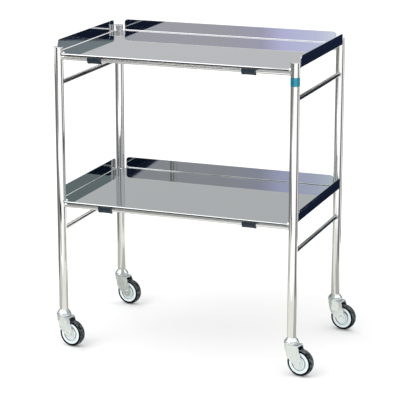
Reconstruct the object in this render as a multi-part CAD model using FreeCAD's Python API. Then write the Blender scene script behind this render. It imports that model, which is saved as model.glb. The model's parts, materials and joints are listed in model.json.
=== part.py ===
import FreeCAD, Part
import math
import os
from FreeCAD import Vector

# Surgical instrument table: a tubular frame on four swivel castors, with two
# lift-off trays. Sizes are in millimetres. +Z is up, +X runs along the long
# side to the right, +Y points to the rear. The origin is on the floor, midway
# between the four legs.

# Frame
leg_spacing_x = 680.0
leg_spacing_y = 412.0
leg_diameter = 25.0
leg_wall = 1.2
leg_bottom_z = 104.0
leg_top_z = 855.0
rail_diameter = 12.7
rail_wall = 1.5
rail_below_leg_top = 27.0
shelf_spacing = 417.0
side_rail_drop = 72.0

# Plugs that close the legs at the top
cap_rim_overhang = 0.7
cap_rim_height = 2.2
cap_rim_rounding = 0.9
cap_plug_depth = 12.0
cap_plug_rounding = 1.0

# Teal band round the front right leg
band_below_leg_top = 37.0
band_height = 23.5
band_thickness = 0.3

# Trays
sheet = 1.2
tray_side_overhang = 10.0
tray_front_overhang = 12.0
tray_rear_overhang = 9.0
deck_above_rail = 13.0
upstand_height = 32.0
upstand_corner_radius = 11.0
bend_inside_radius = 2.2
front_lip_drop = 6.0
hem_height = 7.0
notch_clearance = 5.0
cut_margin = 1.0

# Clips on the front and rear rails, which carry the trays
clip_length = 38.0
clip_barrel_radius = 11.6
clip_rim_radius = 12.2
clip_rim_width = 5.0
clip_mouth_width = 9.0
clip_mouth_angle = 45.0
clip_seat_width = 10.0
upper_clips_x = (-231.0, 213.0)
lower_clips_x = (-205.0, 217.0)

# Castor wheel
wheel_diameter = 75.0
tyre_width = 22.0
tyre_depth = 7.5
tyre_shoulder_drop = 2.4
rim_depth = 7.5
rim_width = 21.0
web_width = 14.0
hub_disc_radius = 18.0
hub_disc_width = 22.0
hub_boss_radius = 10.0
hub_boss_rounding = 0.15
wheel_edge_rounding = 0.8
wheel_side_play = 0.3
running_clearance = 0.05

# Castor fork and axle
castor_angle = -12.0
castor_trail = 29.0
fork_inside_width = 25.0
fork_plate = 2.5
fork_crown_plate = 3.0
fork_crown_z = 86.0
fork_crown_radius = 19.6
fork_bell_radius = 18.6
fork_bell_z = 73.0
fork_waist_z = 56.0
fork_bend = 16.0
fork_shoulder_x = 20.0
fork_front_edge_z = 63.0
fork_back_edge_x = 26.0
fork_end_radius = 13.0
wheel_room = 2.5
axle_radius = 4.0
axle_head_radius = 7.7
axle_head_height = 2.6
axle_head_rounding = 1.8
axle_end_rounding = 0.8
axle_nut_across_flats = 13.0
axle_nut_height = 5.0
axle_end_stub = 1.5
sleeve_radius = 6.0

# Castor swivel head
collar_radius = 20.8
collar_top_z = 93.4
collar_rounding = 2.5
neck_height = 1.6
neck_radius = 18.4
ball_radius = 3.0
ball_circle_radius = 12.7
ball_count = 12
ball_play = 0.05
track_side_clearance = 0.4
stem_radius = 5.5
stem_length = 38.0
stem_end_rounding = 1.5
pin_radius = 5.0
pin_head_radius = 8.0
pin_head_height = 3.5
pin_head_rounding = 1.0
seat_play = 0.3
dust_cap_gap = 0.5
dust_cap_radius = 19.2
dust_cap_edge = 1.2
dust_cap_rounding = 0.8
socket_length = 36.0

# Sizes that follow from the ones above
leg_radius = leg_diameter / 2
leg_bore_radius = leg_radius - leg_wall
upper_rail_z = leg_top_z - rail_below_leg_top
lower_rail_z = upper_rail_z - shelf_spacing
rail_radius = rail_diameter / 2
wheel_radius = wheel_diameter / 2
notch_radius = leg_radius + notch_clearance
tray_half_length = leg_spacing_x / 2 + tray_side_overhang
tray_front_y = -leg_spacing_y / 2 - tray_front_overhang
tray_rear_y = leg_spacing_y / 2 + tray_rear_overhang
clip_seat_height = deck_above_rail - sheet
hub_half_width = fork_inside_width / 2 - wheel_side_play
fork_outside_width = fork_inside_width + 2 * fork_plate
fork_ceiling_z = fork_crown_z - fork_crown_plate
dust_cap_z = collar_top_z + dust_cap_gap
ball_height = dust_cap_z - ball_play - ball_radius

X = Vector(1, 0, 0)
Y = Vector(0, 1, 0)
Z = Vector(0, 0, 1)
ORIGIN = Vector(0, 0, 0)

LEGS = {
    "front_left": Vector(-leg_spacing_x / 2, -leg_spacing_y / 2, 0),
    "front_right": Vector(leg_spacing_x / 2, -leg_spacing_y / 2, 0),
    "rear_left": Vector(-leg_spacing_x / 2, leg_spacing_y / 2, 0),
    "rear_right": Vector(leg_spacing_x / 2, leg_spacing_y / 2, 0),
}


def outline(corners):
    """Face in the XZ plane. Each corner is (x, z), or (x, z, radius) for a rounded one."""
    points = [Vector(corner[0], 0, corner[1]) for corner in corners]
    radii = [corner[2] if len(corner) == 3 else 0 for corner in corners]
    ends = []
    for i, point in enumerate(points):
        if radii[i] == 0:
            ends.append((point, None, point))
            continue
        back = (points[i - 1] - point).normalize()
        ahead = (points[(i + 1) % len(points)] - point).normalize()
        half = back.getAngle(ahead) / 2
        reach = radii[i] / math.tan(half)
        middle = (back + ahead).normalize() * (radii[i] / math.sin(half) - radii[i])
        ends.append((point + back * reach, point + middle, point + ahead * reach))
    edges = []
    for i, (start, middle, end) in enumerate(ends):
        if middle is not None:
            edges.append(Part.Arc(start, middle, end).toShape())
        following = ends[(i + 1) % len(ends)][0]
        if (following - end).Length > 1e-6:
            edges.append(Part.LineSegment(end, following).toShape())
    return Part.Face(Part.Wire(edges))


def turned(corners):
    """Solid of revolution about Z from an outline of (radius, z) corners."""
    return outline(corners).revolve(ORIGIN, Z, 360)


def prism_y(corners, start, end):
    """Outline in the XZ plane, extruded from y = start to y = end."""
    face = outline(corners)
    face.translate(Y * start)
    return face.extrude(Y * (end - start))


def prism_x(corners, start, end):
    """Outline of (y, z) corners, extruded from x = start to x = end."""
    face = outline(corners)
    face.rotate(ORIGIN, Z, 90)
    face.translate(X * start)
    return face.extrude(X * (end - start))


def rod(start, end, radius):
    """Solid cylinder between two points."""
    along = end - start
    return Part.makeCylinder(radius, along.Length, start, along)


def tube(start, end, radius, wall):
    """Pipe between two points."""
    return rod(start, end, radius).cut(rod(start, end, radius - wall))


def save(name, solids):
    """Write one node, from a shape or a list of separate solids."""
    shape = Part.makeCompound(solids) if isinstance(solids, list) else solids
    shape.exportStep(os.path.join("parts", name + ".step"))


def leg(foot):
    return tube(foot + Z * leg_bottom_z, foot + Z * leg_top_z, leg_radius, leg_wall)


def leg_cap(foot):
    """Plug in the top of a leg, with a thin rim that covers the tube's end."""
    rim = leg_radius + cap_rim_overhang
    cap = turned([
        (0, leg_top_z - cap_plug_depth),
        (leg_bore_radius, leg_top_z - cap_plug_depth, cap_plug_rounding),
        (leg_bore_radius, leg_top_z),
        (rim, leg_top_z),
        (rim, leg_top_z + cap_rim_height, cap_rim_rounding),
        (0, leg_top_z + cap_rim_height),
    ])
    cap.translate(foot)
    return cap


def rail(first, second, height):
    """Tube between two legs, its ends scarfed to fit their round sides."""
    start = LEGS[first] + Z * height
    end = LEGS[second] + Z * height
    piece = tube(start, end, rail_radius, rail_wall)
    for foot in (LEGS[first], LEGS[second]):
        piece = piece.cut(rod(foot, foot + Z * leg_top_z, leg_radius))
    return max(piece.Solids, key=lambda solid: solid.Volume)


def colour_band(foot):
    top = foot + Z * (leg_top_z - band_below_leg_top)
    return tube(top - Z * band_height, top, leg_radius + band_thickness, band_thickness)


def clip(x, side, height):
    """Clip snapped on a long rail. It is built round the X axis, with its mouth below and behind."""
    half = clip_length / 2
    body = rod(X * -half, X * half, clip_barrel_radius)
    for start in (-half, half - clip_rim_width):
        body = body.fuse(rod(X * start, X * (start + clip_rim_width), clip_rim_radius))
    seat = Part.makeBox(clip_length, clip_seat_width, clip_seat_height)
    seat.translate(Vector(-half, -clip_seat_width / 2, 0))
    above = Part.makeBox(clip_length, 2 * clip_rim_radius, clip_rim_radius)
    above.translate(Vector(-half, -clip_rim_radius, clip_seat_height))
    mouth = Part.makeBox(clip_length, 2 * clip_rim_radius, clip_mouth_width)
    mouth.translate(Vector(-half, 0, -clip_mouth_width / 2))
    mouth.rotate(ORIGIN, X, -90 - side * clip_mouth_angle)
    body = body.fuse(seat).cut(above).cut(mouth).cut(rod(X * -half, X * half, rail_radius))
    body = body.removeSplitter()
    body.translate(Vector(x, side * leg_spacing_y / 2, height))
    return body


def tray(rail_z):
    """Sheet tray: upstands at both sides and the rear, a short lip down at the front, and a
    round notch at each corner that clears the leg."""
    top = rail_z + deck_above_rail
    bottom = top - sheet
    rim = top + upstand_height
    half = tray_half_length
    outside_radius = bend_inside_radius + sheet
    hem = rim - hem_height
    side_reach = math.sqrt(notch_radius ** 2 - tray_side_overhang ** 2)
    side_end = leg_spacing_y / 2 - side_reach
    rear_reach = math.sqrt(notch_radius ** 2 - tray_rear_overhang ** 2)
    rear_end = leg_spacing_x / 2 - rear_reach

    sides = prism_y([
        (-half - sheet, rim), (-half - sheet, hem), (-half, hem),
        (-half, bottom, outside_radius), (half, bottom, outside_radius),
        (half, hem), (half + sheet, hem), (half + sheet, rim),
        (half - sheet, rim), (half - sheet, top, bend_inside_radius),
        (-half + sheet, top, bend_inside_radius), (-half + sheet, rim),
    ], -side_end, side_end)
    sides = sides.common(prism_x([
        (-side_end, bottom), (side_end, bottom),
        (side_end, rim, upstand_corner_radius), (-side_end, rim, upstand_corner_radius),
    ], -2 * half, 2 * half))

    middle = leg_spacing_y / 2 - notch_radius
    rear = prism_x([
        (middle, bottom), (tray_rear_y, bottom, outside_radius),
        (tray_rear_y, hem), (tray_rear_y + sheet, hem), (tray_rear_y + sheet, rim),
        (tray_rear_y - sheet, rim), (tray_rear_y - sheet, top, bend_inside_radius),
        (middle, top),
    ], -rear_end, rear_end)
    rear = rear.common(prism_y([
        (-rear_end, bottom), (rear_end, bottom),
        (rear_end, rim, upstand_corner_radius), (-rear_end, rim, upstand_corner_radius),
    ], 0, 2 * tray_rear_y))

    lip = top - front_lip_drop
    front = prism_x([
        (-middle, top), (tray_front_y, top, outside_radius), (tray_front_y, lip),
        (tray_front_y + sheet, lip), (tray_front_y + sheet, bottom, bend_inside_radius),
        (-middle, bottom),
    ], -leg_spacing_x / 2, leg_spacing_x / 2)

    deck = Part.makeBox(leg_spacing_x, leg_spacing_y, sheet)
    deck.translate(Vector(-leg_spacing_x / 2, -leg_spacing_y / 2, bottom))
    body = deck.multiFuse([sides, rear, front])
    for foot in LEGS.values():
        body = body.cut(rod(foot + Z * (lip - cut_margin), foot + Z * (rim + cut_margin), notch_radius))
    return body.removeSplitter()


# The castor is built at the origin, trailing towards +X, with its axle along Y.

def tangent_point(centre, radius, outside, side):
    """Where a line from a point outside a circle touches it, in (x, z); side is 1 or -1."""
    dx = outside[0] - centre[0]
    dz = outside[1] - centre[1]
    turn = math.atan2(dz, dx) + side * math.acos(radius / math.hypot(dx, dz))
    return centre[0] + radius * math.cos(turn), centre[1] + radius * math.sin(turn)


def fork_bell(inset, top_z):
    """Outer form of the fork: a bell round the swivel, with flat sides that close in behind it."""
    flat = fork_outside_width / 2 - inset
    side = [
        (flat, 0), (flat, fork_waist_z, fork_bend),
        (fork_bell_radius - inset, fork_bell_z, fork_bend), (fork_crown_radius - inset, top_z),
    ]
    front = turned([(0, 0)] + side + [(0, top_z)])
    mirrored = [(-corner[0],) + tuple(corner[1:]) for corner in reversed(side)]
    behind = prism_x(side + mirrored, 0, castor_trail + fork_end_radius)
    shoulder = fork_crown_radius - inset
    end = castor_trail + fork_end_radius
    plan = [
        (0, -shoulder), (fork_shoulder_x, -flat), (end, -flat),
        (end, flat), (fork_shoulder_x, flat), (0, shoulder), (0, -shoulder),
    ]
    plan_face = Part.Face(Part.makePolygon([Vector(x, y, 0) for x, y in plan]))
    return front.fuse(behind.common(plan_face.extrude(Z * top_z)))


def castor_fork():
    """Pressed fork: a bell that narrows to two tapered plates, under the swivel's collar."""
    axle = (castor_trail, wheel_radius)
    front_corner = (-collar_radius, fork_front_edge_z)
    back_corner = (fork_back_edge_x, fork_crown_z)
    trim = prism_y([
        (-collar_radius, fork_crown_z), front_corner,
        tangent_point(axle, fork_end_radius, front_corner, 1), axle,
        tangent_point(axle, fork_end_radius, back_corner, -1), back_corner,
    ], -collar_radius, collar_radius)
    axle_line = Vector(castor_trail, 0, wheel_radius)
    half = fork_outside_width / 2
    inside = fork_inside_width / 2
    trim = trim.fuse(rod(axle_line - Y * half, axle_line + Y * half, fork_end_radius))
    room = rod(axle_line - Y * inside, axle_line + Y * inside, wheel_radius + wheel_room)
    shell = fork_bell(0, fork_crown_z).cut(fork_bell(fork_plate, fork_ceiling_z)).common(trim).cut(room)
    collar_z = fork_crown_z + neck_height
    collar = turned([
        (0, fork_ceiling_z), (neck_radius, fork_ceiling_z), (neck_radius, collar_z),
        (collar_radius, collar_z), (collar_radius, collar_top_z, collar_rounding), (0, collar_top_z),
    ])
    body = shell.fuse(collar).removeSplitter()
    track_half = ball_radius + track_side_clearance
    floor = ball_height - ball_radius - ball_play
    track = turned([
        (ball_circle_radius - track_half, floor), (ball_circle_radius + track_half, floor),
        (ball_circle_radius + track_half, collar_top_z), (ball_circle_radius - track_half, collar_top_z),
    ])
    pin_hole = rod(Z * fork_ceiling_z, Z * collar_top_z, pin_radius + running_clearance)
    axle_hole = rod(axle_line - Y * half, axle_line + Y * half, axle_radius + running_clearance)
    return body.cut(track).cut(pin_hole).cut(axle_hole)


def castor_balls():
    """Ring of balls between the fork's track and the dust cap."""
    balls = []
    for i in range(ball_count):
        ball = Part.makeSphere(ball_radius, Vector(ball_circle_radius, 0, ball_height))
        ball.rotate(ORIGIN, Z, 360 * i / ball_count)
        balls.append(ball)
    return balls


def castor_stem():
    """Stem and swivel pin in one piece, with the riveted head that the fork hangs on."""
    head_top = fork_ceiling_z - seat_play
    return turned([
        (0, head_top - pin_head_height),
        (pin_head_radius, head_top - pin_head_height, pin_head_rounding),
        (pin_head_radius, head_top), (pin_radius, head_top),
        (pin_radius, dust_cap_z), (stem_radius, dust_cap_z),
        (stem_radius, leg_bottom_z + stem_length, stem_end_rounding), (0, leg_bottom_z + stem_length),
    ])


def castor_dust_cap():
    """Conical cap under the leg, which covers the balls and bears on them."""
    return turned([
        (stem_radius, dust_cap_z), (dust_cap_radius, dust_cap_z),
        (dust_cap_radius, dust_cap_z + dust_cap_edge, dust_cap_rounding), (leg_radius, leg_bottom_z),
        (stem_radius, leg_bottom_z),
    ])


def castor_socket():
    """Insert in the foot of the leg that holds the castor's stem."""
    return tube(Z * leg_bottom_z, Z * (leg_bottom_z + socket_length), leg_bore_radius,
                leg_bore_radius - stem_radius)


def across(shape):
    """Turn a shape built about Z so that it lies about the axle."""
    shape.rotate(ORIGIN, X, 90)
    shape.translate(Vector(castor_trail, 0, wheel_radius))
    return shape


def castor_axle():
    """Axle bolt with a low round head on the near side, and its nut."""
    half = fork_outside_width / 2
    end = half + axle_nut_height + axle_end_stub
    bolt = turned([
        (0, -end), (axle_radius, -end, axle_end_rounding), (axle_radius, half),
        (axle_head_radius, half), (axle_head_radius, half + axle_head_height, axle_head_rounding),
        (0, half + axle_head_height),
    ])
    corner = axle_nut_across_flats / math.sqrt(3)
    points = [Vector(corner * math.cos(math.radians(60 * i)), corner * math.sin(math.radians(60 * i)), 0)
              for i in range(7)]
    nut = Part.Face(Part.makePolygon(points)).extrude(Z * axle_nut_height)
    nut = nut.cut(rod(ORIGIN, Z * axle_nut_height, axle_radius + running_clearance))
    nut.translate(Z * -(half + axle_nut_height))
    return [across(bolt), across(nut)]


def castor_sleeve():
    """Spacer sleeve that the bolt clamps between the plates, and that the wheel turns on."""
    half = fork_inside_width / 2
    return across(tube(Z * -half, Z * half, sleeve_radius, sleeve_radius - axle_radius - running_clearance))


def wheel_core():
    """Moulded wheel centre: boss, hub disc, recessed web and rim, the same on both sides."""
    bore = sleeve_radius + running_clearance
    rim_outside = wheel_radius - tyre_depth
    rim_inside = rim_outside - rim_depth
    side = [
        (bore, hub_half_width), (hub_boss_radius, hub_half_width, hub_boss_rounding),
        (hub_boss_radius, hub_disc_width / 2), (hub_disc_radius, hub_disc_width / 2, wheel_edge_rounding),
        (hub_disc_radius, web_width / 2), (rim_inside, web_width / 2),
        (rim_inside, rim_width / 2, wheel_edge_rounding), (rim_outside, rim_width / 2),
    ]
    mirrored = [(corner[0], -corner[1]) + tuple(corner[2:]) for corner in reversed(side)]
    return across(turned(side + mirrored))


def tyre():
    """Rubber tyre with a gently rounded tread."""
    inside = wheel_radius - tyre_depth
    face = tyre_width / 2
    shoulder = wheel_radius - tyre_shoulder_drop
    crown = Part.Arc(Vector(shoulder, 0, face), Vector(wheel_radius, 0, 0), Vector(shoulder, 0, -face))
    lines = Part.makePolygon([
        Vector(shoulder, 0, -face), Vector(inside, 0, -face),
        Vector(inside, 0, face), Vector(shoulder, 0, face),
    ])
    section = Part.Face(Part.Wire(lines.Edges + [crown.toShape()]))
    return across(section.revolve(ORIGIN, Z, 360))


def at_leg(shape, foot):
    """Put a copy of a castor piece under its leg, turned to the castor's angle."""
    if isinstance(shape, list):
        return [at_leg(piece, foot) for piece in shape]
    copy = shape.copy()
    copy.rotate(ORIGIN, Z, castor_angle)
    copy.translate(foot)
    return copy


os.makedirs("parts", exist_ok=True)

for corner, foot in LEGS.items():
    save("leg_" + corner, leg(foot))
    save("leg_cap_" + corner, leg_cap(foot))
save("colour_band", colour_band(LEGS["front_right"]))

shelves = (("upper", upper_rail_z, upper_clips_x), ("lower", lower_rail_z, lower_clips_x))
for level, rail_z, clips_x in shelves:
    side_z = rail_z - side_rail_drop
    save(level + "_front_rail", rail("front_left", "front_right", rail_z))
    save(level + "_rear_rail", rail("rear_left", "rear_right", rail_z))
    save(level + "_left_rail", rail("front_left", "rear_left", side_z))
    save(level + "_right_rail", rail("front_right", "rear_right", side_z))
    for place, side in (("front", -1), ("rear", 1)):
        pair = [clip(x, side, rail_z) for x in clips_x]
        save(level + "_" + place + "_clips", pair)
    save(level + "_tray", tray(rail_z))

castor_pieces = {
    "castor_socket": castor_socket(),
    "castor_stem": castor_stem(),
    "castor_dust_cap": castor_dust_cap(),
    "castor_balls": castor_balls(),
    "castor_fork": castor_fork(),
    "castor_axle": castor_axle(),
    "castor_sleeve": castor_sleeve(),
    "wheel_core": wheel_core(),
    "tyre": tyre(),
}
for piece, shape in castor_pieces.items():
    for corner, foot in LEGS.items():
        save(piece + "_" + corner, at_leg(shape, foot))
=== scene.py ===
# %% [markdown]
# # A surgical instrument table
# The real object is a two-shelf trolley: chromed tube legs and rails, two trays of polished
# sheet that lift off, and four swivel castors. The CAD frame already holds every rigid piece at
# its real size. This lesson rounds the edges of the pieces that the camera sees close, adds the
# small ones such as weld beads, gives each metal its own finish, and lights the whole for chrome.

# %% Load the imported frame
import json
import math

import bpy
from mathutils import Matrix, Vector


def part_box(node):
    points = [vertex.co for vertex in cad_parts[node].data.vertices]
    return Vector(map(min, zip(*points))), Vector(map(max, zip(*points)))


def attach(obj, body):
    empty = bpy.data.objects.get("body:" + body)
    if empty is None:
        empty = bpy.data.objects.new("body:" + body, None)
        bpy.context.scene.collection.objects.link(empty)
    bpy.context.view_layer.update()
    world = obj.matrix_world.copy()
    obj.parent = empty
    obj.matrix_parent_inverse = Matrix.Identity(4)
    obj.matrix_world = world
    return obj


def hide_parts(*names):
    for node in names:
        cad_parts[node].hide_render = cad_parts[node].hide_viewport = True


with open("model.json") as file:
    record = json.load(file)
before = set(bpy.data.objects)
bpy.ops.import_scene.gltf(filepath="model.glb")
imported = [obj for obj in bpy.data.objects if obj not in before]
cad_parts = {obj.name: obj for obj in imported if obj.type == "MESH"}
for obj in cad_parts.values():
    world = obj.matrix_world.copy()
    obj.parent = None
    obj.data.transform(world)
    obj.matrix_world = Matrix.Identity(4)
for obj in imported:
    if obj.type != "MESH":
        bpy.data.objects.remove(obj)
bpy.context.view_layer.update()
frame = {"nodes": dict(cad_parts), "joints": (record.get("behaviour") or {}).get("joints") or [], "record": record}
nodes = frame["nodes"]
bpy.ops.object.select_all(action="DESELECT")
print("nodes loaded:", len(nodes))

CORNERS = ("front_left", "front_right", "rear_left", "rear_right")
LEVELS = ("upper", "lower")


# %% [markdown]
# ## A helper for finishes
# Every finish is a Principled shader whose colour, roughness and bump come from noise in Object
# coordinates, so that a pattern stays put when a wheel turns. The same nodes could be wired by
# hand each time. A small class keeps each recipe short instead: it makes the shader, sets plain
# numbers on its own sockets, and offers noise, colour mixing and bump as one-line calls.

# %% The finish helper
class Finish:
    """A material with one Principled shader, and short calls for the nodes that feed it."""

    def __init__(self, name, colour, metallic=0.0, roughness=0.5):
        self.material = bpy.data.materials.new(name)
        self.material.use_nodes = True
        self.tree = self.material.node_tree
        self.shader = self.tree.nodes["Principled BSDF"]
        self.shader.inputs["Base Color"].default_value = (*colour, 1)
        self.shader.inputs["Metallic"].default_value = metallic
        self.shader.inputs["Roughness"].default_value = roughness
        self.place = self.tree.nodes.new("ShaderNodeTexCoord").outputs["Object"]

    def node(self, kind, inputs=None, **settings):
        """Add a node, set its options, and give each named input a value or a link."""
        new = self.tree.nodes.new(kind)
        for option, value in settings.items():
            setattr(new, option, value)
        for socket, value in (inputs or {}).items():
            if isinstance(value, bpy.types.NodeSocket):
                self.tree.links.new(value, new.inputs[socket])
            else:
                new.inputs[socket].default_value = value
        return new

    def noise(self, size, detail=3.0, stretch=(1, 1, 1), roughness=0.5):
        """Noise whose blobs are about size metres across, drawn out along some axes."""
        scale = tuple(factor / size for factor in stretch)
        mapping = self.node("ShaderNodeMapping", {"Vector": self.place, "Scale": scale})
        noise = self.node("ShaderNodeTexNoise", {
            "Vector": mapping.outputs[0], "Scale": 1.0, "Detail": detail, "Roughness": roughness,
        })
        return noise.outputs["Fac"]

    def spread(self, value, low, high, start=0.3, end=0.7):
        """Map a 0 to 1 value onto low to high."""
        ranged = self.node("ShaderNodeMapRange", {
            "Value": value, "From Min": start, "From Max": end, "To Min": low, "To Max": high,
        })
        return ranged.outputs[0]

    def blend(self, factor, first, second):
        """Mix two colours, each a tuple or a socket."""
        mix = self.node("ShaderNodeMix", data_type="RGBA")
        for index, value in ((0, factor), (6, first), (7, second)):
            if isinstance(value, bpy.types.NodeSocket):
                self.tree.links.new(value, mix.inputs[index])
            else:
                mix.inputs[index].default_value = (*value, 1) if index else value
        return mix.outputs[2]

    def colour(self, value):
        self.tree.links.new(value, self.shader.inputs["Base Color"])

    def roughness(self, value):
        self.tree.links.new(value, self.shader.inputs["Roughness"])

    def bump(self, height, depth, strength=1.0):
        """Bump of a real depth in metres, added to any bump that is there already."""
        inputs = {"Height": height, "Distance": depth, "Strength": strength}
        before = self.shader.inputs["Normal"].links
        if before:
            inputs["Normal"] = before[0].from_socket
        node = self.node("ShaderNodeBump", inputs)
        self.tree.links.new(node.outputs[0], self.shader.inputs["Normal"])


print("finish helper ready")


# %% [markdown]
# ## Chromed tube
# Legs and rails are chrome plated tube, nearly a mirror. One flat value for roughness would look
# like paint. Real chrome is a little uneven: smudges from hands dull it in patches, and faint
# lines run along the tube from drawing and polishing. So roughness follows soft noise, and a bump
# of a few thousandths of a millimetre is stretched along the tube. Legs run along Z and rails
# along X or Y, so each direction gets its own copy of the recipe.

# %% Chromed tube, one finish for each direction
def chromed_tube(name, stretch):
    finish = Finish(name, (0.84, 0.84, 0.83), metallic=1.0, roughness=0.07)
    finish.roughness(finish.spread(finish.noise(0.05, detail=5), 0.035, 0.10))
    tint = finish.noise(0.3, detail=2)
    finish.colour(finish.blend(tint, (0.82, 0.825, 0.83), (0.87, 0.865, 0.845)))
    finish.bump(finish.noise(0.0007, detail=2, stretch=stretch), 0.000003)
    return finish.material


TUBE_ALONG = {
    "x": chromed_tube("chromed_tube_x", (0.02, 1, 1)),
    "y": chromed_tube("chromed_tube_y", (1, 0.02, 1)),
    "z": chromed_tube("chromed_tube_z", (1, 1, 0.02)),
}
print("tube finishes:", len(TUBE_ALONG))


# %% [markdown]
# ## Polished sheet
# The trays are bright polished sheet. They mirror the room, but a thin sheet is never quite flat,
# so reflections bend slowly. Modelling the waves would need a dense mesh. A wide, shallow bump
# bends the reflections at no cost, and a second, very fine one gives the polishing grain. A cloud
# of slightly different tints stands for the heat and wipe marks of long use. The lower tray gets
# a darker, cooler copy of the same sheet: painted shade, for the upper tray that hangs over it.

# %% Polished sheet
def polished_sheet(name, first, second):
    finish = Finish(name, first, metallic=1.0, roughness=0.02)
    smudge = finish.noise(0.07, detail=6)
    finish.roughness(finish.spread(smudge, 0.008, 0.03))
    cloud = finish.noise(0.22, detail=2)
    finish.colour(finish.blend(cloud, first, second))
    finish.bump(finish.noise(0.20, detail=1), 0.00005)
    finish.bump(finish.noise(0.0009, detail=3, stretch=(0.015, 1, 1)), 0.000001)
    return finish.material


# %% [markdown]
# ## Zinc plate and bearing steel
# The castor's pressed parts are bright zinc plate over rolled steel. Zinc is softer to look at
# than chrome: it has a cold tint, a fine bloom of crystals and small scratches. Three noises of
# different sizes give the tint, the bloom and a shallow orange-peel bump.

# %% Zinc plate
def zinc_plate(name="zinc_plate", first=(0.74, 0.80, 0.81), second=(0.88, 0.92, 0.92)):
    finish = Finish(name, first, metallic=1.0, roughness=0.22)
    bloom = finish.noise(0.004, detail=5, roughness=0.6)
    finish.roughness(finish.spread(bloom, 0.15, 0.28))
    finish.colour(finish.blend(finish.noise(0.015, detail=4), first, second))
    finish.bump(finish.noise(0.006, detail=2), 0.00004)
    finish.bump(finish.noise(0.0012, detail=3), 0.000012)
    return finish.material


# %% [markdown]
# ## Moulded plastics
# Clips are black moulded plastic with a light eggshell grain. It has no metal in it, so the edge
# glow of its specular reflection does the work. Wheel centres are pale grey nylon, smoother, with a
# little dirt in the tint. Both use the same grain at different depths.

# %% Black moulded plastic and grey nylon
def black_plastic():
    finish = Finish("black_plastic", (0.005, 0.015, 0.026), roughness=0.3)
    finish.shader.inputs["Specular IOR Level"].default_value = 0.4
    tint = finish.noise(0.01)
    finish.colour(finish.blend(tint, (0.003, 0.012, 0.022), (0.006, 0.022, 0.038)))
    finish.roughness(finish.spread(finish.noise(0.004, detail=4), 0.24, 0.4))
    finish.bump(finish.noise(0.0009, detail=3), 0.00002)
    return finish.material


def grey_nylon():
    finish = Finish("grey_nylon", (0.70, 0.77, 0.79), roughness=0.32)
    finish.shader.inputs["Subsurface Weight"].default_value = 0.05
    finish.shader.inputs["Subsurface Scale"].default_value = 0.002
    mottle = finish.noise(0.012, detail=4)
    finish.colour(finish.blend(mottle, (0.66, 0.76, 0.78), (0.86, 0.92, 0.93)))
    finish.roughness(finish.spread(finish.noise(0.003, detail=4), 0.26, 0.42))
    finish.bump(finish.noise(0.001, detail=3), 0.00002)
    return finish.material


def dusty_nylon():
    """The same nylon, darkened: painted shade in the recessed ring of the wheel centre."""
    finish = Finish("dusty_nylon", (0.25, 0.28, 0.29), roughness=0.6)
    mottle = finish.noise(0.006, detail=6)
    finish.colour(finish.blend(mottle, (0.09, 0.12, 0.13), (0.22, 0.27, 0.28)))
    finish.roughness(finish.spread(mottle, 0.5, 0.75))
    finish.bump(finish.noise(0.001, detail=3), 0.00003)
    return finish.material


# %% [markdown]
# ## Rubber
# A tyre has two looks. Its side walls stay black and a little shiny, straight from the mould. Its
# tread rolls on floors and turns grey, dusty and rough, with fine scuffs along the way it rolls.
# Two materials on one mesh keep that border crisp, where the real tyre has it, at the shoulder.

# %% Rubber, side wall and tread
def rubber_wall():
    finish = Finish("rubber_wall", (0.004, 0.005, 0.006), roughness=0.45)
    finish.shader.inputs["Specular IOR Level"].default_value = 0.04
    dust = finish.noise(0.005, detail=6)
    finish.colour(finish.blend(dust, (0.001, 0.002, 0.003), (0.005, 0.007, 0.009)))
    finish.roughness(finish.spread(dust, 0.36, 0.6))
    finish.bump(finish.noise(0.0012, detail=4), 0.00003)
    return finish.material


def rubber_tread():
    finish = Finish("rubber_tread", (0.04, 0.05, 0.055), roughness=0.7)
    finish.shader.inputs["Specular IOR Level"].default_value = 0.05
    scuff = finish.noise(0.009, detail=8, roughness=0.65)
    worn = finish.spread(scuff, 0.0, 1.0, start=0.4, end=0.68)
    finish.colour(finish.blend(worn, (0.004, 0.006, 0.008), (0.16, 0.18, 0.19)))
    finish.roughness(finish.spread(scuff, 0.55, 0.85))
    finish.bump(finish.noise(0.0018, detail=6), 0.00012)
    return finish.material


# %% [markdown]
# ## Teal band
# The band round one leg is a thin wrap of foil vinyl: the chrome below still seems to shine
# through it, dark at the sides and bright in the middle. A paint-like teal stays flat beside that.
# So the teal is half metallic, drifts slightly to cyan, and has a clear coat on top.

# %% Teal vinyl
def teal_vinyl():
    finish = Finish("teal_vinyl", (0.02, 0.36, 0.48), metallic=0.65, roughness=0.2)
    finish.shader.inputs["Coat Weight"].default_value = 0.6
    finish.shader.inputs["Coat Roughness"].default_value = 0.08
    drift = finish.noise(0.012, detail=2)
    finish.colour(finish.blend(drift, (0.004, 0.15, 0.26), (0.015, 0.34, 0.44)))
    finish.roughness(finish.spread(finish.noise(0.003), 0.14, 0.26))
    finish.bump(finish.noise(0.0015), 0.00001)
    return finish.material


# %% [markdown]
# ## Give every CAD node its finish
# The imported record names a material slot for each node. A table from slot to finish covers them
# all in one loop, which also reaches the nodes that no camera sees, such as the balls. Tubes pick
# the copy of the chrome that matches the way they run.

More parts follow.
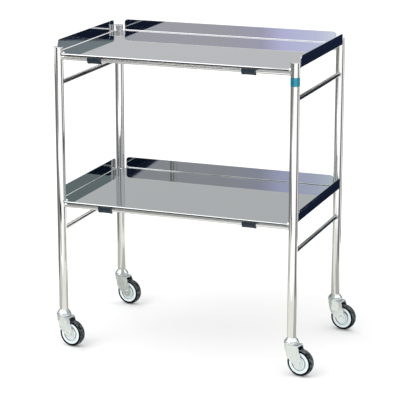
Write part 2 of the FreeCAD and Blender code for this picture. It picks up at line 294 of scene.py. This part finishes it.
# %% Finishes by slot
SHEET = {
    "upper": polished_sheet("polished_sheet_upper", (0.735, 0.745, 0.76), (0.785, 0.78, 0.775)),
    # The lower tray's copy is darker and cooler: painted shade, for the upper tray above it.
    "lower": polished_sheet("polished_sheet_lower", (0.60, 0.63, 0.625), (0.645, 0.66, 0.65)),
}
ZINC = zinc_plate()
STEEL = zinc_plate("bearing_steel", (0.60, 0.60, 0.62), (0.72, 0.72, 0.73))
WELD = zinc_plate("weld_chrome", (0.72, 0.72, 0.71), (0.86, 0.86, 0.84))
CLIP = black_plastic()
NYLON = grey_nylon()
# Darker nylon: painted shade for the recessed ring of each wheel centre.
RECESS_SHADE = dusty_nylon()
WALL = rubber_wall()
TREAD = rubber_tread()
FINISHES = {
    "cap_metal": TUBE_ALONG["z"],
    "stainless_sheet": SHEET["upper"],
    "black_plastic": CLIP,
    "socket_plastic": CLIP,
    "teal_band": teal_vinyl(),
    "zinc_plated_steel": ZINC,
    "bearing_steel": STEEL,
    "grey_plastic": NYLON,
    "black_rubber": WALL,
}


def tube_direction(name):
    """Legs run along Z, side rails along Y, and the long rails along X."""
    if name.startswith("leg"):
        return "z"
    return "y" if "left_rail" in name or "right_rail" in name else "x"


for part in frame["record"]["subparts"]:
    name, slot = part["node"], part["material_slot"]
    mesh = nodes[name].data
    mesh.materials.clear()
    finish = TUBE_ALONG[tube_direction(name)] if slot == "chromed_tube" else FINISHES[slot]
    mesh.materials.append(finish)


# %% [markdown]
# ## Helpers for shapes
# A CAD node's mesh is loose triangles with knife-sharp edges. Real sheet, mouldings and pressed
# steel have a small radius on every edge, and that radius catches the light as a thin bright
# line. The shape could be modelled again from nothing, but the CAD is already right. So a copy
# is merged into one skin, its flat triangles are dissolved into whole faces, and a Bevel
# modifier, applied at once, rounds what is sharp. The copy then stands for its CAD node.
#
# Smooth shading alone would spoil a polished tray: the normals at a fold would bend the flat deck
# as well, and a mirror shows that at once. Weighted Normal lets the large faces win.

# %% Helpers: select, copy, set in place, join, smooth, and soften a copy of a node
MERGE_WITHIN = 0.000002
FLAT_WITHIN = math.radians(0.5)


def only(*pieces):
    """Select these objects and no other. The first one becomes the active one."""
    bpy.ops.object.select_all(action="DESELECT")
    for piece in pieces:
        piece.select_set(True)
    bpy.context.view_layer.objects.active = pieces[0]


def duplicate(piece, name):
    """A copy with its own mesh, at the origin."""
    copy = bpy.data.objects.new(name, piece.data.copy())
    bpy.context.scene.collection.objects.link(copy)
    return copy


def set_in_place(*pieces):
    """Move each object's place, turn and size into its mesh."""
    only(*pieces)
    bpy.ops.object.transform_apply(location=True, rotation=True, scale=True)


def joined(pieces):
    """Set the pieces in place and make them one."""
    set_in_place(*pieces)
    bpy.ops.object.join()
    return bpy.context.object


def smooth(piece, angle=30.0):
    """Smooth shading up to an angle, with normals that the large flat faces decide."""
    only(piece)
    bpy.ops.object.shade_smooth_by_angle(angle=math.radians(angle))
    weighted = piece.modifiers.new("normals", "WEIGHTED_NORMAL")
    weighted.weight = 100
    weighted.thresh = 0
    weighted.keep_sharp = True
    bpy.ops.object.modifier_apply(modifier="normals")
    piece.select_set(False)


def softened(node, name, radius, segments=2, angle=35.0, clamp=False):
    """A merged copy of a CAD node whose sharp edges are rounded. It stands for the node."""
    piece = duplicate(nodes[node], name)
    only(piece)
    bpy.ops.object.mode_set(mode="EDIT")
    bpy.ops.mesh.select_all(action="SELECT")
    bpy.ops.mesh.remove_doubles(threshold=MERGE_WITHIN)
    bpy.ops.mesh.dissolve_limited(angle_limit=FLAT_WITHIN)
    bpy.ops.object.mode_set(mode="OBJECT")
    bevel = piece.modifiers.new("edges", "BEVEL")
    bevel.width = radius
    bevel.segments = segments
    bevel.limit_method = "ANGLE"
    bevel.angle_limit = math.radians(angle)
    bevel.use_clamp_overlap = clamp
    bpy.ops.object.modifier_apply(modifier="edges")
    smooth(piece)
    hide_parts(node)
    return piece


# %% [markdown]
# ## Trays
# Each tray is one folded sheet, 1.2 mm thick. Where it was sheared, the edge is deburred to a
# radius of about a third of a millimetre, and that is what the bevel gives. A wider bevel would
# meet itself in the middle of such a thin sheet.

# %% Trays with deburred edges
TRAY_EDGE = 0.0003
for level in LEVELS:
    tray = softened(level + "_tray", level + "_tray_sheet", TRAY_EDGE)
    # The lower tray takes the copy with painted shade in its colour.
    tray.data.materials[0] = SHEET[level]
    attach(tray, level + "_shelf")
    print(tray.name, "faces:", len(tray.data.polygons))

# %% [markdown]
# ## Clips
# The clips are moulded, and a mould never leaves a corner sharper than half a millimetre. Each
# node holds the two clips of one rail, so one softened copy does for both.

# %% Clips with moulded corners
CLIP_EDGE = 0.0005
for level in LEVELS:
    for place in ("front", "rear"):
        node = level + "_" + place + "_clips"
        clips = softened(node, node + "_moulded", CLIP_EDGE)
        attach(clips, "frame")
print("clips done")

# %% [markdown]
# ## Castor forks, bolts and wheel centres
# A pressed fork has a rolled look: its plate edges are rounded by the press, where the tube
# rails are not. Bolt heads and nuts are chamfered. The wheel centre is moulded. Each gets the
# radius that its own way of making leaves.

# %% Forks, bolts and wheel centres with their own radii
# Each row: the CAD node, the new piece, its edge radius, its slot, and the body it rides on.
CASTOR_EDGES = (
    ("castor_fork_", "fork_pressing_", 0.0006, "zinc_plated_steel", "castor_"),
    ("castor_axle_", "axle_bolt_", 0.0004, "zinc_plated_steel", "castor_"),
    ("wheel_core_", "wheel_centre_", 0.0004, "grey_plastic", "wheel_"),
)
softened_castors = {}
for corner in CORNERS:
    for node, name, radius, slot, body in CASTOR_EDGES:
        piece = softened(node + corner, name + corner, radius, clamp=True)
        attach(piece, body + corner)
        softened_castors[name + corner] = piece
print("castor pieces done")


# %% [markdown]
# ## Where the legs, rails and wheels are
# New pieces are placed from the CAD and not by eye. A leg's middle is the middle of its box, and
# so is a rail's height. The castors stand turned a little, and the wheel's joint says how far.

# %% Places read from the frame
def middle(node):
    low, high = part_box(node)
    return (low + high) / 2


LEG = {corner: middle("leg_" + corner) for corner in CORNERS}
leg_low, leg_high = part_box("leg_front_left")
LEG_RADIUS = (leg_high.x - leg_low.x) / 2
rail_low, rail_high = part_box("upper_front_rail")
RAIL_RADIUS = (rail_high.z - rail_low.z) / 2
WHEEL = {corner: middle("tyre_" + corner) for corner in CORNERS}
WHEEL_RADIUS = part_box("tyre_front_left")[1].z / 2
spin_axis = next(
    joint["axis"] for joint in frame["joints"] if joint["name"] == "wheel_spin_front_left"
)
CASTOR_TURN = math.atan2(-spin_axis[0], spin_axis[1])
print("leg radius", round(LEG_RADIUS, 5), "rail radius", round(RAIL_RADIUS, 5),
      "wheel radius", round(WHEEL_RADIUS, 5), "castor turn", round(math.degrees(CASTOR_TURN), 2))


# %% [markdown]
# ## Painted shade in the ring of a wheel
# Between its hub disc and its rim the wheel centre is recessed. The faces of that ring are found
# by their distance from the axle and take a darker nylon, which is painted shade in the recess.

# %% Faces of the recess, which take painted shade
WEB_INSIDE = 0.0176
WEB_OUTSIDE = 0.0229
WEB_DEPTH = 0.0098


def wheel_place(point, corner):
    """Distance from the axle and distance from the wheel's middle plane."""
    offset = point - WHEEL[corner]
    along = -math.sin(CASTOR_TURN) * offset.x + math.cos(CASTOR_TURN) * offset.y
    across = math.cos(CASTOR_TURN) * offset.x + math.sin(CASTOR_TURN) * offset.y
    return math.hypot(across, offset.z), abs(along)


for corner in CORNERS:
    mesh = softened_castors["wheel_centre_" + corner].data
    # The second slot holds the painted shade of the recess.
    mesh.materials.append(RECESS_SHADE)
    recess_shaded = 0
    for face in mesh.polygons:
        reach, depth = wheel_place(face.center, corner)
        if WEB_INSIDE < reach < WEB_OUTSIDE and depth < WEB_DEPTH:
            face.material_index = 1
            recess_shaded += 1
print("dusty faces in a wheel:", recess_shaded)


# %% [markdown]
# ## Weld beads
# Each rail is welded to two legs. The bead is a thin ring that hugs the saddle where a small
# tube meets a larger one. A flat torus would sink into the leg at its sides and stand off above
# and below. So a torus is added in the upright plane, a fine ripple is put in, and every point
# slides along the rail by as much as the leg's round side falls away there. One bead is made,
# then copied to all sixteen joints and joined into one piece.

# %% One weld bead, at the origin, for a rail that runs along +X
BEAD = 0.0010
BEAD_PROUD = 0.3
RIPPLES = 22
RIPPLE_SHARE = 0.18
bpy.ops.mesh.primitive_torus_add(
    major_segments=66, minor_segments=10, major_radius=RAIL_RADIUS + BEAD_PROUD * BEAD,
    minor_radius=BEAD, rotation=(0, math.pi / 2, 0),
)
bead = bpy.context.object
set_in_place(bead)
for vertex in bead.data.vertices:
    point = vertex.co
    around = math.atan2(point.y, point.z)
    point.x *= 1 + RIPPLE_SHARE * math.sin(RIPPLES * around)
    point.x += math.sqrt(LEG_RADIUS ** 2 - min(abs(point.y), LEG_RADIUS) ** 2)
print("bead points:", len(bead.data.vertices))

# %% Copy the bead to every joint
RAIL_ENDS = (
    ("_front_rail", "front_left", 0), ("_front_rail", "front_right", 180),
    ("_rear_rail", "rear_left", 0), ("_rear_rail", "rear_right", 180),
    ("_left_rail", "front_left", 90), ("_left_rail", "rear_left", -90),
    ("_right_rail", "front_right", 90), ("_right_rail", "rear_right", -90),
)
beads = []
for level in LEVELS:
    for rail, corner, turn in RAIL_ENDS:
        copy = duplicate(bead, "bead")
        copy.location = (LEG[corner].x, LEG[corner].y, middle(level + rail).z)
        copy.rotation_euler = (0, 0, math.radians(turn))
        beads.append(copy)
bpy.data.objects.remove(bead)
welds = joined(beads)
welds.name = "weld_beads"
welds.data.materials.append(WELD)
smooth(welds, 60)
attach(welds, "frame")
print("weld beads:", len(beads))


# %% [markdown]
# ## Tyres
# A tyre is a thick ring with a crowned tread and a small step in its side wall, where the mould
# closed. It could be spun from a section. Here it starts as a cylinder: both ends are inset to
# the rim, the middles are opened and bridged into a ring, the tread is divided across, and each
# of its rings of points is scaled to the crown. Only then is the side wall inset, from the
# crowned edge, and a second inset, pushed in, makes the step.

# %% Helpers: select faces or edges by a test
def start_selection(mode):
    """Clear the selection in edit mode, then leave it, so that flags can be set in code."""
    bpy.ops.object.mode_set(mode="EDIT")
    bpy.ops.mesh.select_mode(type=mode)
    bpy.ops.mesh.select_all(action="DESELECT")
    bpy.ops.object.mode_set(mode="OBJECT")


def select_faces(piece, test):
    """Select the faces that pass, and end in edit mode."""
    start_selection("FACE")
    for face in piece.data.polygons:
        face.select = test(face)
    bpy.ops.object.mode_set(mode="EDIT")


def select_edges(piece, test):
    """Select the edges whose two end points pass, and end in edit mode."""
    start_selection("EDGE")
    points = piece.data.vertices
    for edge in piece.data.edges:
        edge.select = test(points[edge.vertices[0]].co, points[edge.vertices[1]].co)
    bpy.ops.object.mode_set(mode="EDIT")


def from_axle(point):
    """Distance of a point from the Y axis, which is the axle while a wheel is modelled."""
    return math.hypot(point.x, point.z)


# %% The tyre's ring
TYRE_WIDTH = 0.022
TYRE_DEPTH = 0.0075
CROWN = 0.0024
TREAD_CUTS = 11
STEP_FROM_EDGE = 0.0013
STEP_IN = 0.0004
TYRE_EDGE = 0.0005
TREAD_HALF_WIDTH = 0.0104
TREAD_MARGIN = 0.0003
ON_TREAD = WHEEL_RADIUS - 0.00001
bpy.ops.mesh.primitive_cylinder_add(
    vertices=112, radius=WHEEL_RADIUS, depth=TYRE_WIDTH, rotation=(math.pi / 2, 0, 0),
)
tyre = bpy.context.object
tyre.name = "tyre_model"
set_in_place(tyre)
select_faces(tyre, lambda face: abs(face.normal.y) > 0.9)
bpy.ops.mesh.inset(thickness=TYRE_DEPTH, depth=0)
bpy.ops.mesh.delete(type="FACE")
bpy.ops.mesh.select_mode(type="EDGE")
bpy.ops.mesh.select_non_manifold()
bpy.ops.mesh.bridge_edge_loops()
print("ring faces:", len(tyre.data.polygons))

# %% Crowned tread and side wall step
select_edges(tyre, lambda a, b: min(from_axle(a), from_axle(b)) > ON_TREAD
             and abs(a.y - b.y) > TYRE_WIDTH / 2)
bpy.ops.mesh.subdivide(number_cuts=TREAD_CUTS)
bpy.ops.object.mode_set(mode="OBJECT")
for vertex in tyre.data.vertices:
    if from_axle(vertex.co) > ON_TREAD:
        share = abs(vertex.co.y) / (TYRE_WIDTH / 2)
        scale = 1 - CROWN * share ** 2 / WHEEL_RADIUS
        vertex.co.x *= scale
        vertex.co.z *= scale
tyre.data.update()
select_faces(tyre, lambda face: abs(face.normal.y) > 0.9)
bpy.ops.mesh.inset(thickness=STEP_FROM_EDGE, depth=0)
bpy.ops.mesh.inset(thickness=STEP_IN, depth=-STEP_IN)
bpy.ops.object.mode_set(mode="OBJECT")
edges = tyre.modifiers.new("edges", "BEVEL")
edges.width = TYRE_EDGE
edges.segments = 3
edges.limit_method = "ANGLE"
edges.angle_limit = math.radians(40)
edges.use_clamp_overlap = False
only(tyre)
bpy.ops.object.modifier_apply(modifier="edges")
bpy.ops.object.mode_set(mode="EDIT")
bpy.ops.mesh.select_all(action="SELECT")
bpy.ops.mesh.normals_make_consistent(inside=False)
bpy.ops.object.mode_set(mode="OBJECT")
tyre.data.materials.append(WALL)
tyre.data.materials.append(TREAD)
tread_from = WHEEL_RADIUS - CROWN - TREAD_MARGIN
for face in tyre.data.polygons:
    if from_axle(face.center) > tread_from and abs(face.center.y) < TREAD_HALF_WIDTH:
        face.material_index = 1
smooth(tyre, 40)
print("tyre faces:", len(tyre.data.polygons))

# %% A tyre on each wheel
for corner in CORNERS:
    copy = duplicate(tyre, "tyre_rubber_" + corner)
    copy.location = WHEEL[corner]
    copy.rotation_euler = (0, 0, CASTOR_TURN)
    set_in_place(copy)
    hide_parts("tyre_" + corner)
    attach(copy, "wheel_" + corner)
bpy.data.objects.remove(tyre)
print("tyres placed:", len(CORNERS))


# %% [markdown]
# ## Crimps under the collar
# The fork's collar is pressed onto its crown and held by a row of short crimps in the groove
# between them. In the groove's shade, the gaps between the crimps read as a line of dark dots.
# A crimp is a small cube, tapered outward and bevelled. One ring of them is made and copied.

# %% One ring of crimps, at the origin
GROOVE_LOW = 0.0860
GROOVE_HIGH = 0.0876
GROOVE_RADIUS = 0.0184
CRIMP_REACH = 0.0013
CRIMP_WIDTH = 0.0048
CRIMP_COUNT = 16
CRIMP_TAPER = (1, 0.8, 0.7)
CRIMP_EDGE = 0.0002
bpy.ops.mesh.primitive_cube_add(size=1, location=(0, 0, 0))
crimp = bpy.context.object
crimp.scale = (2 * CRIMP_REACH, CRIMP_WIDTH, GROOVE_HIGH - GROOVE_LOW)
crimp.location = (GROOVE_RADIUS, 0, (GROOVE_LOW + GROOVE_HIGH) / 2)
set_in_place(crimp)
select_faces(crimp, lambda face: face.normal.x > 0.9)
bpy.ops.transform.resize(value=CRIMP_TAPER)
bpy.ops.mesh.select_all(action="SELECT")
bpy.ops.mesh.bevel(offset=CRIMP_EDGE, segments=2, affect="EDGES")
bpy.ops.object.mode_set(mode="OBJECT")
ring = []
for index in range(CRIMP_COUNT):
    copy = duplicate(crimp, "crimp")
    copy.rotation_euler = (0, 0, 2 * math.pi * index / CRIMP_COUNT)
    ring.append(copy)
bpy.data.objects.remove(crimp)
crimps = joined(ring)
crimps.data.materials.append(ZINC)
smooth(crimps)
print("crimps in a ring:", len(ring))

# %% A ring of crimps on each castor
for corner in CORNERS:
    copy = duplicate(crimps, "collar_crimps_" + corner)
    copy.location = (LEG[corner].x, LEG[corner].y, 0)
    set_in_place(copy)
    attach(copy, "castor_" + corner)
bpy.data.objects.remove(crimps)
print("crimp rings placed:", len(CORNERS))


# %% [markdown]
# ## The band's overlap
# The teal band is a strip wrapped once round the leg, so at the back of the leg its end lies over
# its start as a low step. A thin-walled cylinder would hide under the band. Only a slice of its
# side is kept, and Solidify gives it the vinyl's thickness outward.

# %% The end of the teal strip
LAP_SPAN = 0.5
LAP_THICK = 0.00025
LAP_SHORTER = 0.0006
band_low, band_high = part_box("colour_band")
bpy.ops.mesh.primitive_cylinder_add(
    vertices=96, radius=(band_high.x - band_low.x) / 2,
    depth=band_high.z - band_low.z - LAP_SHORTER,
    end_fill_type="NOTHING", location=middle("colour_band"),
)
lap = bpy.context.object
lap.name = "band_overlap"
set_in_place(lap)
select_faces(lap, lambda face: face.normal.y < math.cos(LAP_SPAN / 2))
bpy.ops.mesh.delete(type="FACE")
bpy.ops.object.mode_set(mode="OBJECT")
wall = lap.modifiers.new("wall", "SOLIDIFY")
wall.thickness = LAP_THICK
wall.offset = 1
bpy.ops.object.modifier_apply(modifier="wall")
lap.data.materials.append(FINISHES["teal_band"])
smooth(lap)
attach(lap, "frame")
print("overlap faces:", len(lap.data.polygons))


# %% [markdown]
# ## Light for chrome
# Chrome has no colour of its own: it shows the room. In a plain white room it would look like
# white plastic. So the room stays white for the camera and for matt surfaces, and flat glowing
# cards stand round the table that only mirrors see. Each card sits where the reflected view ray
# of one kind of face goes: grey behind for the shelves, navy to the right rear for the side
# upstands, grey on the floor to both sides for the dark streaks down the legs. A ring of pale
# grey ones far out keeps the trays from going white when they are seen from any other side.

# %% A card that only reflections see
def glow_colour(tree, stops):
    """Colours that change along X. Each stop is a place in metres and a colour."""
    place = tree.nodes.new("ShaderNodeTexCoord").outputs["Object"]
    split = tree.nodes.new("ShaderNodeSeparateXYZ")
    ranged = tree.nodes.new("ShaderNodeMapRange")
    ramp = tree.nodes.new("ShaderNodeValToRGB")
    tree.links.new(place, split.inputs[0])
    tree.links.new(split.outputs[0], ranged.inputs["Value"])
    tree.links.new(ranged.outputs[0], ramp.inputs[0])
    first, last = stops[0][0], stops[-1][0]
    ranged.inputs["From Min"].default_value = first
    ranged.inputs["From Max"].default_value = last
    while len(ramp.color_ramp.elements) < len(stops):
        ramp.color_ramp.elements.new(0.5)
    for element, (x, colour) in zip(ramp.color_ramp.elements, stops):
        element.position = (x - first) / (last - first)
        element.color = (*colour, 1)
    return ramp.outputs[0]


def reflection_card(name, corners, colour):
    """A flat card through four corners, in order round its edge."""
    bpy.ops.mesh.primitive_plane_add(size=2)
    card = bpy.context.object
    card.name = name
    for vertex, index in zip(card.data.vertices, (0, 1, 3, 2)):
        vertex.co = corners[index]
    material = bpy.data.materials.new(name)
    material.use_nodes = True
    tree = material.node_tree
    tree.nodes.clear()
    glow = tree.nodes.new("ShaderNodeEmission")
    if isinstance(colour, list):
        tree.links.new(glow_colour(tree, colour), glow.inputs["Color"])
    else:
        glow.inputs["Color"].default_value = (*colour, 1)
    out = tree.nodes.new("ShaderNodeOutputMaterial")
    tree.links.new(glow.outputs[0], out.inputs[0])
    card.data.materials.append(material)
    for ray in ("visible_camera", "visible_diffuse", "visible_shadow", "visible_transmission"):
        setattr(card, ray, False)
    return card


def standing(start, end, low, high):
    """Corners of an upright card over the line from start to end."""
    return [(*start, low), (*end, low), (*end, high), (*start, high)]


def lying(*points, height=0.002):
    """Corners of a card just above the floor."""
    return [(*point, height) for point in points]


# %% The cards
NAVY = (0.010, 0.017, 0.040)
BROWN = (0.12, 0.115, 0.10)
FRONT = [
    (-3.4, (0.50, 0.52, 0.55)), (-1.55, (0.50, 0.50, 0.56)),
    (-1.34, (0.50, 0.50, 0.64)), (-1.22, (0.66, 0.66, 0.98)), (-1.02, (0.74, 0.78, 1.02)),
    (-0.86, (0.98, 1.06, 1.12)),
]
OVERHEAD = [(-1.2, (0.80, 0.82, 0.86)), (0.3, (1.0, 1.0, 1.05))]
REAR_LINE = ((-6.0, 4.6), (0.9, 4.6))
RIGHT_REAR_LINE = ((2.12, 5.93), (3.8, 5.2))
CARDS = {
    # Behind: what the decks and the rear upstands mirror.
    "rear_grey": (standing(*REAR_LINE, 1.3, 2.05), (0.565, 0.575, 0.59)),
    "rear_high": (standing(*REAR_LINE, 2.05, 2.7), (0.14, 0.135, 0.12)),
    "rear_low": (standing(*REAR_LINE, 0.0, 1.3), BROWN),
    "rear_floor": (lying((-1.2, 1.1), (0.6, 1.1), (0.9, 4.55), (-1.2, 4.55)), BROWN),
    "right_rear_brown": (standing((0.6, 6.54), (2.12, 5.93), 0.0, 3.2), BROWN),
    "right_rear_navy": (standing(*RIGHT_REAR_LINE, 0.0, 1.91), NAVY),
    "right_rear_teal": (standing(*RIGHT_REAR_LINE, 1.91, 4.5), (0.23, 0.28, 0.30)),
    "right_rear_floor": (lying((0.6, 1.0), (1.15, 0.85), (3.7, 5.3), (1.0, 6.3)), NAVY),
    # On the floor round the table: the streaks down the legs and the rails.
    "left_floor": (
        lying((-0.95, -0.95), (-1.0, 0.5), (-5.5, 4.6), (-4.0, -5.6)), (0.19, 0.19, 0.185)),
    "left_floor_near": (
        lying((-0.47, -0.62), (-0.5, 0.6), (-1.0, 0.5), (-0.95, -0.95)), (0.54, 0.54, 0.51)),
    "left_front_near": (
        lying((-1.0, -1.0), (-0.3, -1.0), (-0.35, -0.64), (-0.95, -0.64), height=0.0025),
        (0.70, 0.70, 0.66)),
    "right_floor": (
        lying((1.0, -0.5), (5.5, -1.6), (5.5, 2.2), (1.0, 0.4)), (0.20, 0.20, 0.20)),
    "right_floor_near": (
        lying((0.48, -0.38), (1.0, -0.5), (1.0, 0.4), (0.48, 0.5)), (0.46, 0.46, 0.44)),
    "under_table": (
        lying((-0.46, -0.15), (0.22, -0.15), (0.28, 0.5), (-0.46, 0.5)), (0.50, 0.50, 0.46)),
    "table_foot": (
        lying((-0.6, -0.85), (0.95, -0.85), (0.6, 0.7), (-0.6, 0.7), height=0.001),
        (0.90, 0.90, 0.84)),
    "left_rear_grey": (standing((-3.8, 0.4), (-2.8, 3.6), 0.9, 4.5), (0.16, 0.17, 0.18)),
    "near_front_floor": (
        lying((-1.6, -2.1), (-0.4, -2.1), (-0.2, -1.1), (-1.6, -1.1)), (0.55, 0.55, 0.52)),
    "far_front_floor": (
        lying((-3.5, -7.0), (-0.7, -7.0), (-0.7, -2.7), (-3.5, -2.7)), (0.42, 0.41, 0.40)),
    # In front: the dark line and the bright one in each tray's front fold.
    "lower_lip_strip": (
        lying((-1.25, -1.78), (0.1, -1.78), (0.1, -1.50), (-1.25, -1.50), height=0.003),
        (0.03, 0.027, 0.03)),
    "upper_lip_strip": (
        lying((-3.0, -5.6), (-0.7, -5.6), (-0.5, -4.1), (-2.6, -4.1), height=0.003),
        (0.03, 0.026, 0.03)),
    "front_low": (standing((-3.4, -5.61), (-1.1, -5.61), 0.0, 1.2), (0.06, 0.055, 0.06)),
    "front_sweep": (standing((-3.4, -4.0), (-0.86, -4.0), 1.42, 1.9), FRONT),
    "front_navy": (
        [(-3.4, -3.98, 1.42), (-1.87, -3.98, 1.42), (-2.54, -3.98, 1.9), (-3.4, -3.98, 1.9)],
        NAVY),
    "front_high": (standing((-4.2, -4.0), (0.6, -4.0), 1.9, 3.4), (0.50, 0.50, 0.50)),
    "overhead": (
        lying((-4.0, -3.5), (1.5, -3.5), (1.5, 4.5), (-4.0, 4.5), height=5.0), OVERHEAD),
    "camera_side_navy": (standing((1.6, -6.4), (3.6, -5.6), 1.0, 3.0), NAVY),
}
RING_RADIUS = 9.0
RING_SIDES = 8
RING_HEIGHT = 4.2
RING_GREY = (0.58, 0.59, 0.61)
ring_points = []
for side in range(RING_SIDES):
    turn = 2 * math.pi * side / RING_SIDES
    ring_points.append((RING_RADIUS * math.cos(turn), RING_RADIUS * math.sin(turn)))
for side in range(RING_SIDES):
    corners = standing(ring_points[side - 1], ring_points[side], 0.0, RING_HEIGHT)
    CARDS["ring_" + str(side)] = (corners, RING_GREY)
for name, (corners, colour) in CARDS.items():
    reflection_card(name, corners, colour)
print("cards:", len(CARDS))


# %% [markdown]
# ## Floor, room and key light
# The floor is plain and pale. A bright even world gives the soft light of a white studio with
# hardly a shadow, and one large lamp from the left adds a little direction, so that round
# pieces look round.

# %% Floor, world and lamp
FLOOR_SIZE = 80
FLOOR_BELOW = 0.0005
ROOM_STRENGTH = 1.18
LAMP_PLACE = (-2.2, -3.0, 4.2)
LAMP_AIM = Vector((0, 0, 0.4))
LAMP_WATTS = 60
LAMP_SIZE = 3.0
bpy.ops.mesh.primitive_plane_add(size=FLOOR_SIZE, location=(0, 0, -FLOOR_BELOW))
floor = bpy.context.object
floor.name = "floor"
pale = bpy.data.materials.new("pale_floor")
pale.use_nodes = True
pale_shader = pale.node_tree.nodes["Principled BSDF"]
pale_shader.inputs["Base Color"].default_value = (0.95, 0.95, 0.95, 1)
pale_shader.inputs["Roughness"].default_value = 0.9
pale_shader.inputs["Specular IOR Level"].default_value = 0.0
floor.data.materials.append(pale)

world = bpy.data.worlds.new("studio")
world.use_nodes = True
world.node_tree.nodes["Background"].inputs["Color"].default_value = (1, 1, 1, 1)
world.node_tree.nodes["Background"].inputs["Strength"].default_value = ROOM_STRENGTH
bpy.context.scene.world = world

bpy.ops.object.light_add(type="AREA", location=LAMP_PLACE)
key = bpy.context.object
key.name = "key_light"
key.data.energy = LAMP_WATTS
key.data.size = LAMP_SIZE
key.rotation_euler = (LAMP_AIM - key.location).to_track_quat("-Z", "Y").to_euler()
print("room lit")


# %% [markdown]
# ## Camera
# The camera stands where the photograph was taken from: to the right of the middle, above the
# top shelf, looking down about fifteen degrees. Its focal length was found from the photograph
# and so is counted in the picture's pixels. A sensor as wide as the picture turns it into
# millimetres.

# %% Camera
FOCAL_PIXELS = 1719.732
PICTURE_PIXELS = 400
SENSOR_WIDTH = 36.0
CAMERA_PLACE = (1.685053, -4.410776, 1.651106)
LOOK_DOWN = 14.786
LOOK_LEFT = 20.96
camera_data = bpy.data.cameras.new("camera")
camera = bpy.data.objects.new("camera", camera_data)
bpy.context.scene.collection.objects.link(camera)
camera_data.sensor_width = SENSOR_WIDTH
camera_data.lens = FOCAL_PIXELS / PICTURE_PIXELS * SENSOR_WIDTH
camera_data.clip_end = 200
camera.location = CAMERA_PLACE
camera.rotation_euler = (math.radians(90 - LOOK_DOWN), 0, math.radians(LOOK_LEFT))
bpy.context.scene.camera = camera
bpy.context.scene.view_settings.view_transform = "Standard"
print("lens:", round(camera_data.lens, 1), "mm")
